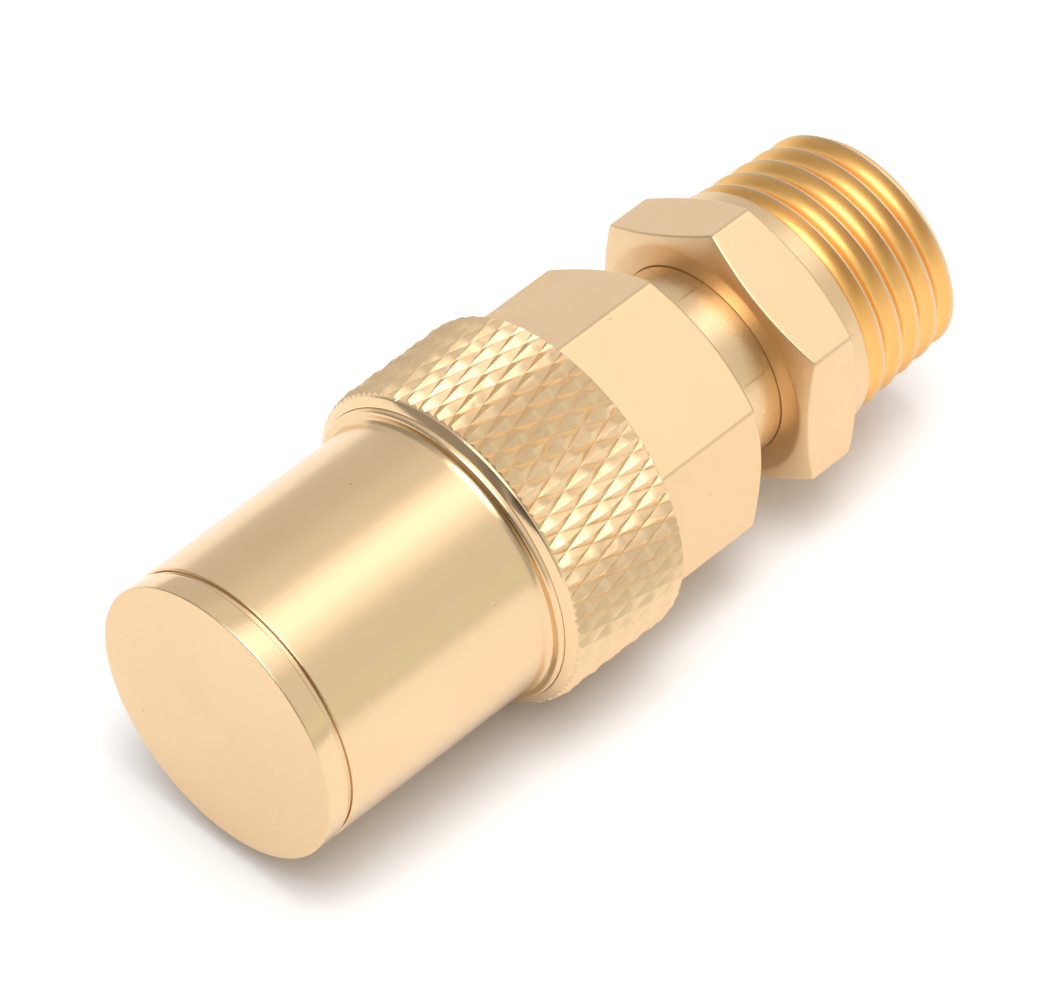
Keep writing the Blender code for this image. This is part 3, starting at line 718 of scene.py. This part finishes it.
def knurledRoller(middle, reach):
    # a closed cylinder whose outside is cut by two families of crossing V grooves
    sizes = knurlSizes
    shares = sizes["shares"]
    perTooth = len(shares)
    around = sizes["teeth"] * perTooth
    form = bmesh.new()
    points = {}

    def gridPoint(i, j):
        while i + j >= 2 * around:
            i, j = i - around, j - around
        while i + j < 0:
            i, j = i + around, j + around
        if (i, j) not in points:
            u = i // perTooth + shares[i % perTooth]
            v = j // perTooth + shares[j % perTooth]
            angle = (u + v) / 2 * math.tau / sizes["teeth"] + sizes["turn"]
            station = middle + (u - v) / 2 * sizes["period"]
            wander = wanderAt(station, angle) * sizes["wander"]
            depth = sizes["depth"] + wander
            radius = gripRadius - depth * (1 - knurlHeight(u, v)) - abs(wander) / 2
            place = (station, radius * math.sin(angle), radius * math.cos(angle))
            points[(i, j)] = form.verts.new(place)
        return points[(i, j)]

    rows = int(2 * reach / sizes["period"] * perTooth) + perTooth
    for along in range(-rows, rows):
        for across in range(along % 2, 2 * around, 2):
            a, b = (across + along) // 2, (across - along) // 2
            cell = ((a, b), (a + 1, b), (a + 1, b + 1), (a, b + 1))
            corners = [gridPoint(*place) for place in cell]
            if max(abs(corner.co.x - middle) for corner in corners) > reach:
                continue
            sameHalf = (shares[a % perTooth] < 0.5) == (shares[b % perTooth] < 0.5)
            if sameHalf:
                form.faces.new((corners[0], corners[1], corners[2]))
                form.faces.new((corners[0], corners[2], corners[3]))
            else:
                form.faces.new((corners[0], corners[1], corners[3]))
                form.faces.new((corners[1], corners[2], corners[3]))
    loose = [vert for vert in form.verts if not vert.link_faces]
    bmesh.ops.delete(form, geom=loose, context="VERTS")
    for side in (-1, 1):
        hub = form.verts.new((middle + side * (reach + sizes["hubDepth"]), 0, 0))
        openEdges = [edge for edge in form.edges if edge.is_boundary and hub not in edge.verts]
        rim = [edge for edge in openEdges if (edge.verts[0].co.x - middle) * side > 0]
        for edge in rim:
            form.faces.new((edge.verts[0], edge.verts[1], hub))
    bmesh.ops.recalc_face_normals(form, faces=form.faces)
    return form


def knurledGrip(knurlFront, knurlBack):
    grip = gripSizes
    ledge = sealHigh.x + grip["seatGap"]
    floor = knurlBack - grip["floorWall"]
    rimFront = bodyFront + grip["rimSetback"]
    rimFloor = rimFront + grip["rimLip"]
    flangeRadius = sleeveHigh.z
    passage = grip["passage"] + grip["joinOverlap"]
    edge, bevel = grip["edgeRound"], grip["backBevel"]
    blank = turnedForm(
        [
            (rimFront, flangeRadius, edge),
            (knurlFront - grip["bevelEnd"], grip["landRadius"], grip["bevelRound"]),
            (knurlFront, grip["landRadius"], grip["landRound"]),
            (knurlFront + grip["toothStart"], gripRadius, grip["toothRound"]),
            (knurlBack - bevel, gripRadius, grip["toothRound"]),
            (knurlBack, gripRadius - bevel, edge),
            (knurlBack, passage, 0),
            (floor, passage, 0),
            (floor, grip["bore"], grip["boreRound"]),
            (ledge, grip["bore"], edge),
            (ledge, grip["seatRadius"], edge),
            (rimFloor, grip["seatRadius"], 0),
            (rimFloor, flangeRadius, 0),
        ]
    )
    reach = grip["length"] / 2 + knurlSizes["reach"]
    roller = knurledRoller((knurlFront + knurlBack) / 2, reach)
    mesh = combine(toMesh(blank, "gripBlank"), toMesh(roller, "roller"), "INTERSECT")
    print("grip knurled:", len(mesh.polygons), "faces")
    return mesh


def makeVentBody():
    knurlFront = bodyFront + gripSizes["landLength"]
    knurlBack = knurlFront + gripSizes["length"]
    sizes = bodyHexSizes
    front = knurlBack - sizes["overlap"]
    back = knurlBack + sizes["length"]
    neckShoulder = adapterFront + sizes["socketDepth"]
    noseFront = bodyHigh.x - sizes["noseLength"]
    grooveFront = neckSealLow.x - sizes["grooveGap"]
    grooveRadius = neckSealHigh.z - sizes["grooveDepth"]
    spigot, neck = sharedSizes["spigotRadius"], sharedSizes["neckRadius"]
    passage = gripSizes["passage"]

    def outlineAt(angle):
        radius = hexRadius(angle)
        bevel = bevelStation(back, -1, radius, sizes["edge"])
        return softened(
            [
                (front, passage, 0),
                (front, radius, 0),
                (bevel, radius, sizes["edgeRound"]),
                (back, sizes["edge"]["radius"], sizes["edgeRound"]),
                (back, neck, sizes["neckFillet"]),
                (neckShoulder, neck, sizes["shoulderRound"]),
                (neckShoulder, spigot, sizes["spigotRound"]),
                (grooveFront, spigot, sizes["grooveRound"]),
                (grooveFront, grooveRadius, 0),
                (noseFront, grooveRadius, 0),
                (noseFront, spigot, sizes["grooveRound"]),
                (bodyHigh.x, spigot, sizes["noseRound"]),
                (bodyHigh.x, sizes["nosePassage"], sizes["spigotRound"]),
                (noseFront, sizes["nosePassage"], 0),
                (grooveFront, passage, 0),
            ]
        )

    gripMesh = knurledGrip(knurlFront, knurlBack)
    hexMesh = toMesh(columnForm(outlineAt, hexAngles()), "bodyHexagon")
    mesh = combine(gripMesh, hexMesh, "UNION")
    sharp = gripSizes["sharpAngle"]
    addPiece("knurledBody", mesh, gripBrass, "head", "vent_body", sharp)


adapterSizes = {
    "frontStep": 0.2 * mm,
    "shoulder": 4.5 * mm,  # from the adapter's front to the start of its thread
    "collar": 0.95 * mm,
    "collarRadius": 6.78 * mm,
    "frontEdge": {"radius": 6.5 * mm, "slope": 0.38},
    "backEdge": {"radius": 6.82 * mm, "slope": 0.45},
    "edgeRound": 0.12 * mm,
    "lip": 0.3 * mm,
    "lipRound": 0.04 * mm,
    "socketDepth": 1.0 * mm,
    "neckGap": 0.15 * mm,
    "smallRound": 0.05 * mm,
    "chamberRadius": 4.2 * mm,
    "chamberRound": 0.1 * mm,
    "seatSetback": 1.1 * mm,  # from the plunger's seal back to its seat
    "web": 0.8 * mm,
    "webHole": 2.4 * mm,
    "webRound": 0.08 * mm,
    "clipGroove": 0.35 * mm,
    "joinRadius": 5.2 * mm,  # the threaded sleeve is joined to the hexagon's tube here
    "sharpAngle": 40,
}

threadSizes = {
    "endRadius": 6.33 * mm,
    "startRadius": 6.74 * mm,
    "pitch": 25.4 * mm / 19,
    "depth": 0.5 * mm,
    "runOut": 0.4 * mm,
    "endBevel": 0.25 * mm,
    "endRound": 0.12 * mm,
    "bore": 4.8 * mm,
    "overlap": 0.3 * mm,
    "crestWidth": 0.06,  # share of a turn
    "rootRound": 1.7,  # 1 is a sharp V
    "start": 0.72,  # where round the axis the thread begins, as a share of a turn
    "stepsPerTurn": 144,
    # share of half a turn at each grid line, closer together at the crest
    "halfShares": (0.03, 0.05, 0.08, 0.12, 0.17, 0.24, 0.32, 0.41),
    "paintedReflectionFrom": (0.16, 0.03),  # below the crests in millimetres, where the painted groove reflection is full and where it begins
    "paintedReflectionEase": 0.1,
}

threadBrass = brass(
    "threadedBrass",
    {
        **brassLooks,
        # deeper gold painted into the thread's grooves, standing in for light bounced between the
        # flanks
        "paintedGrooveReflection": (0.9, 0.52, 0.17),
        "roughness": 0.42,
        "grainStretch": (1, 0.3, 0.3),
        "grainScale": 3.0,
        "grainDepth": 0.005 * mm,
        "finishes": ((-99, (adapterFront + adapterSizes["shoulder"]) / mm, -0.02),),
    },
)


def threadDepthShare(share):
    # 0 on the crest, 1 at the root, with a rounded root
    fromCrest = 1 - abs(2 * (share % 1) - 1)
    narrow = threadSizes["crestWidth"]
    ramp = min(1.0, max(0.0, (fromCrest - narrow) / (1 - narrow)))
    return 1 - (1 - ramp) ** threadSizes["rootRound"]


def threadedRod(shoulder):
    # a solid rod whose outside follows the helix, longer than the thread at its small end
    sizes = threadSizes
    half = sizes["halfShares"]
    shares = (0.0, *half, 0.5, *(1 - share for share in reversed(half)))
    pitch = sizes["pitch"]
    narrowing = (sizes["startRadius"] - sizes["endRadius"]) / (threadEnd - shoulder)
    turns = int((threadEnd - shoulder) / pitch) + 4
    steps = sizes["stepsPerTurn"]
    form = bmesh.new()
    inside = shoulder - 2 * sizes["overlap"]

    def surfacePoint(step, index):
        turn, place = divmod(index, len(shares))
        station = shoulder + (turn - 1 + shares[place] + sizes["start"] - step / steps) * pitch
        clamped = max(station, shoulder)
        fade = min(1.0, (clamped - shoulder) / sizes["runOut"])
        fade = fade * fade * (3 - 2 * fade)
        crest = sizes["startRadius"] - (clamped - shoulder) * narrowing
        radius = crest - sizes["depth"] * fade * threadDepthShare(shares[place])
        angle = math.tau * step / steps
        return (clamped, radius * math.sin(angle), radius * math.cos(angle))

    columns = []
    rows = turns * len(shares)
    for step in range(steps + 1):
        columns.append([form.verts.new(surfacePoint(step, index)) for index in range(rows)])
    for step in range(steps):
        here, following = columns[step], columns[step + 1]
        for index in range(rows - 1):
            form.faces.new((here[index], here[index + 1], following[index + 1], following[index]))
    cleanForm(form)
    rims = [edge for edge in form.edges if edge.is_boundary]
    frontHub = form.verts.new((inside, 0, 0))
    backHub = form.verts.new((threadEnd + 4 * pitch, 0, 0))
    middle = (shoulder + threadEnd) / 2
    for edge in rims:
        hub = frontHub if edge.verts[0].co.x < middle else backHub
        form.faces.new((edge.verts[0], edge.verts[1], hub))
    bmesh.ops.recalc_face_normals(form, faces=form.faces)
    return form


def makeAdapter():
    sizes = adapterSizes
    thread = threadSizes
    shoulder = adapterFront + sizes["shoulder"]
    front = adapterFront - sizes["frontStep"]
    hexBack = shoulder - sizes["collar"]
    rod = toMesh(threadedRod(shoulder), "threadedRod")
    start, bevel = shoulder - thread["overlap"], threadEnd - thread["endBevel"]
    root = thread["endRadius"] - thread["depth"]
    blank = turnedForm(
        [
            (start, thread["bore"], 0),
            (start, gripRadius, 0),
            (bevel, gripRadius, 0),
            (bevel, thread["endRadius"] + 0.05 * mm, 0),
            (threadEnd, root + 0.1 * mm, thread["endRound"]),
            (threadEnd, thread["bore"], 0),
        ]
    )
    threadMesh = combine(rod, toMesh(blank, "threadBlank"), "INTERSECT")
    print("thread cut:", len(threadMesh.polygons), "faces")

    gap = sizes["neckGap"]
    socketFloor = adapterFront + sizes["socketDepth"]
    socket = sharedSizes["spigotRadius"] + gap
    neckHole = sharedSizes["neckRadius"] + sharedSizes["seam"]
    neckRoom = sharedSizes["neckRadius"] + gap
    grooveFront = retainerLow.x - gap
    grooveBack = retainerHigh.x + gap / 2
    chamber, groove = sizes["chamberRadius"], sizes["chamberRadius"] + sizes["clipGroove"]
    seat = sealFront - sizes["seatSetback"]
    joint = threadEnd - gap
    edge, small, web = sizes["edgeRound"], sizes["smallRound"], sizes["webRound"]

    def outlineAt(angle):
        radius = hexRadius(angle)
        return softened(
            [
                (front, neckHole, sizes["lipRound"]),
                (front, sizes["frontEdge"]["radius"], edge),
                (bevelStation(front, 1, radius, sizes["frontEdge"]), radius, edge),
                (bevelStation(hexBack, -1, radius, sizes["backEdge"]), radius, edge),
                (hexBack, sizes["backEdge"]["radius"], small),
                (shoulder, sizes["collarRadius"], sizes["lipRound"]),
                (shoulder, sizes["joinRadius"], 0),
                (joint, sizes["joinRadius"], 0),
                (joint, chamber, sizes["chamberRound"]),
                (grooveBack, chamber, 0),
                (grooveBack, groove, 0),
                (grooveFront, groove, 0),
                (grooveFront, chamber, 0),
                (seat, chamber, sizes["chamberRound"]),
                (seat, sizes["webHole"], web),
                (seat - sizes["web"], sizes["webHole"], web),
                (seat - sizes["web"], socket, 0),
                (socketFloor, socket, small),
                (socketFloor, neckRoom, small),
                (front + sizes["lip"], neckRoom, 0),
                (front + sizes["lip"], neckHole, 0),
            ]
        )

    hexMesh = toMesh(columnForm(outlineAt, hexAngles()), "adapterHexagon")
    mesh = combine(hexMesh, threadMesh, "UNION")
    sharp = sizes["sharpAngle"]
    addPiece("threadedAdapter", mesh, threadBrass, "adapter", "adapter", sharp)


makeEndCap()
makeSleeve()
makeVentBody()
makeAdapter()


slotOf = {row["node"]: row["material_slot"] for row in frame["record"]["subparts"]}
replaced = ("end_cap", "chamber_sleeve", "vent_body", "adapter")
for nodeName, node in frame["nodes"].items():
    if nodeName not in replaced:
        node.data.materials.clear()
        node.data.materials.append(stuffs.get(slotOf[nodeName], innerBrass))
print("inner pieces finished")


# directions in the sky are given by x (along the axis) and by lean, the angle in degrees
# round the axis, where 0 is straight up and positive leans to -Y
studio = {
    "floorSize": 3.0,
    "floorColour": (0.88, 0.88, 0.88),
    "floorDrift": 0.985,
    "floorCloud": 0.02,
    "floorRoughness": 0.9,
    # sky brightness: dim behind the camera, bright on the side facing the thread
    "dimSide": 0.52,
    "brightSide": 0.9,
    "brightSpan": (0.1, 0.8),
    "brightEdge": 0.14,
    # a little dimmer beyond the object
    "farSpan": (-104, -40),
    "farEdge": 10,
    "farDimming": -0.14,
    # long overhead softbox, brighter towards the cap
    "stripSpan": (-12, 31),
    "stripEdge": 6,
    "stripGlow": 0.35,
    "coreSpan": (-7, 18),
    "coreEdge": 9,
    "coreGlow": 0.55,
    "powerSpan": (-0.5, 0.08),
    "powerEdge": 0.12,
    "stripPower": 4.0,
    # dark doorway behind the camera: direction, how much light is left, and its soft edge
    "doorway": (-0.87, -0.3, 0.36),
    "doorwayShade": 0.14,
    "doorwayEdge": (0.82, 0.96),
    # greenish glow low on the near side, and a dip under it
    "horizonSpan": (72, 83),
    "horizonEdge": 4,
    "horizonGlow": 0.1,
    "horizonTint": (0.93, 1.0, 0.84),
    "dipSpan": (86, 96),
    "dipDepth": -0.15,
    # overhead lamp for the floor; it makes no highlights
    "lampPlace": (0.0, -0.1, 0.6),
    "lampSize": 0.2,
    "lampPower": 0.6,
}

# azimuth, elevation and roll in degrees, distance, lens and shift in millimetres
cameraView = {
    "azimuth": -44.847,
    "elevation": 46.793,
    "roll": -0.972,
    "distance": 402.3,
    "lens": 281.98,
    "shift": (-0.976, -1.046),
}


def addFloor():
    form = bmesh.new()
    half = studio["floorSize"] / 2
    level = cadBox[0][2]
    square = ((-half, -half), (half, -half), (half, half), (-half, half))
    form.faces.new([form.verts.new((x, y, level)) for x, y in square])
    floor = bpy.data.objects.new("floor", toMesh(form, "floor"))
    bpy.context.scene.collection.objects.link(floor)
    material, tree, shader = startMaterial("paleFloor")
    position = millimetres(tree)
    cloud = noise(tree, position, studio["floorCloud"], detail=3.0)
    second = tuple(part * studio["floorDrift"] for part in studio["floorColour"])
    tone = mixColours(tree, cloud, studio["floorColour"], second)
    tree.links.new(tone, shader.inputs["Base Color"])
    shader.inputs["Roughness"].default_value = studio["floorRoughness"]
    shader.inputs["Specular IOR Level"].default_value = 0.0
    floor.data.materials.append(material)


def addCamera(azimuth, elevation, roll, distance, lens, shift):
    # azimuth 0 looks along +Y; the shift is in millimetres across the view at the object
    a, e = math.radians(azimuth), math.radians(elevation)
    away = Vector((math.sin(a) * math.cos(e), -math.cos(a) * math.cos(e), math.sin(e)))
    right = Vector((0, 0, 1)).cross(away).normalized()
    up = away.cross(right)
    turn = math.radians(roll)
    right, up = (
        math.cos(turn) * right + math.sin(turn) * up,
        -math.sin(turn) * right + math.cos(turn) * up,
    )
    place = (right * shift[0] + up * shift[1] + away * distance) * mm
    pose = Matrix((right, up, away)).transposed().to_4x4()
    pose.translation = place
    data = bpy.data.cameras.new("camera")
    data.sensor_width = 36
    data.lens = lens
    data.clip_start = 0.01
    camera = bpy.data.objects.new("camera", data)
    camera.matrix_world = pose
    bpy.context.scene.collection.objects.link(camera)
    bpy.context.scene.camera = camera


def addSurround():
    # the studio's sky: dim near the camera, brighter beyond the thread, a long soft strip overhead
    world = bpy.data.worlds.new("paleStudio")
    world.use_nodes = True
    tree = world.node_tree
    background = tree.nodes["Background"]
    place = addNode(tree, "ShaderNodeTexCoord")
    split = addNode(tree, "ShaderNodeSeparateXYZ")
    tree.links.new(place.outputs["Generated"], split.inputs[0])
    x, y, z = (split.outputs[axis] for axis in "XYZ")
    lean = combineValues(tree, "ARCTAN2", combineValues(tree, "MULTIPLY", y, -1.0), z)
    lean = combineValues(tree, "MULTIPLY", lean, math.degrees(1))

    def added(sky, share, amount):
        return combineValues(tree, "ADD", sky, combineValues(tree, "MULTIPLY", share, amount))

    def span(value, name, edgeName):
        return window(tree, value, *studio[name + "Span"], studio[edgeName + "Edge"])

    bright = span(x, "bright", "bright")
    sky = remap(tree, bright, 0, 1, studio["dimSide"], studio["brightSide"])
    sky = added(sky, span(lean, "far", "far"), studio["farDimming"])
    power = span(x, "power", "power")
    glow = remap(tree, power, 0, 1, studio["stripGlow"], studio["stripPower"])
    sky = added(sky, span(lean, "strip", "strip"), glow)
    sky = added(sky, span(lean, "core", "core"), studio["coreGlow"])

    toDoorway = addNode(tree, "ShaderNodeVectorMath", operation="DOT_PRODUCT")
    toDoorway.inputs[1].default_value = Vector(studio["doorway"]).normalized()
    tree.links.new(place.outputs["Generated"], toDoorway.inputs[0])
    edge = studio["doorwayEdge"]
    shade = remap(tree, toDoorway.outputs["Value"], *edge, 1, studio["doorwayShade"])
    sky = combineValues(tree, "MULTIPLY", sky, shade)

    horizon = span(lean, "horizon", "horizon")
    sky = added(sky, horizon, studio["horizonGlow"])
    sky = added(sky, span(lean, "dip", "horizon"), studio["dipDepth"])
    tint = mixColours(tree, horizon, (1.0, 1.0, 1.0), studio["horizonTint"])
    tree.links.new(tint, background.inputs["Color"])
    tree.links.new(sky, background.inputs["Strength"])
    bpy.context.scene.world = world


def addLamp():
    data = bpy.data.lights.new("overheadLamp", "AREA")
    data.energy = studio["lampPower"]
    data.size = studio["lampSize"]
    lamp = bpy.data.objects.new("overheadLamp", data)
    lamp.location = studio["lampPlace"]
    lamp.rotation_euler = (-Vector(studio["lampPlace"])).to_track_quat("-Z", "Y").to_euler()
    lamp.visible_glossy = False
    bpy.context.scene.collection.objects.link(lamp)


addFloor()
addSurround()
addLamp()
addCamera(**cameraView)
bpy.context.scene.view_settings.view_transform = "Standard"
print("studio set")
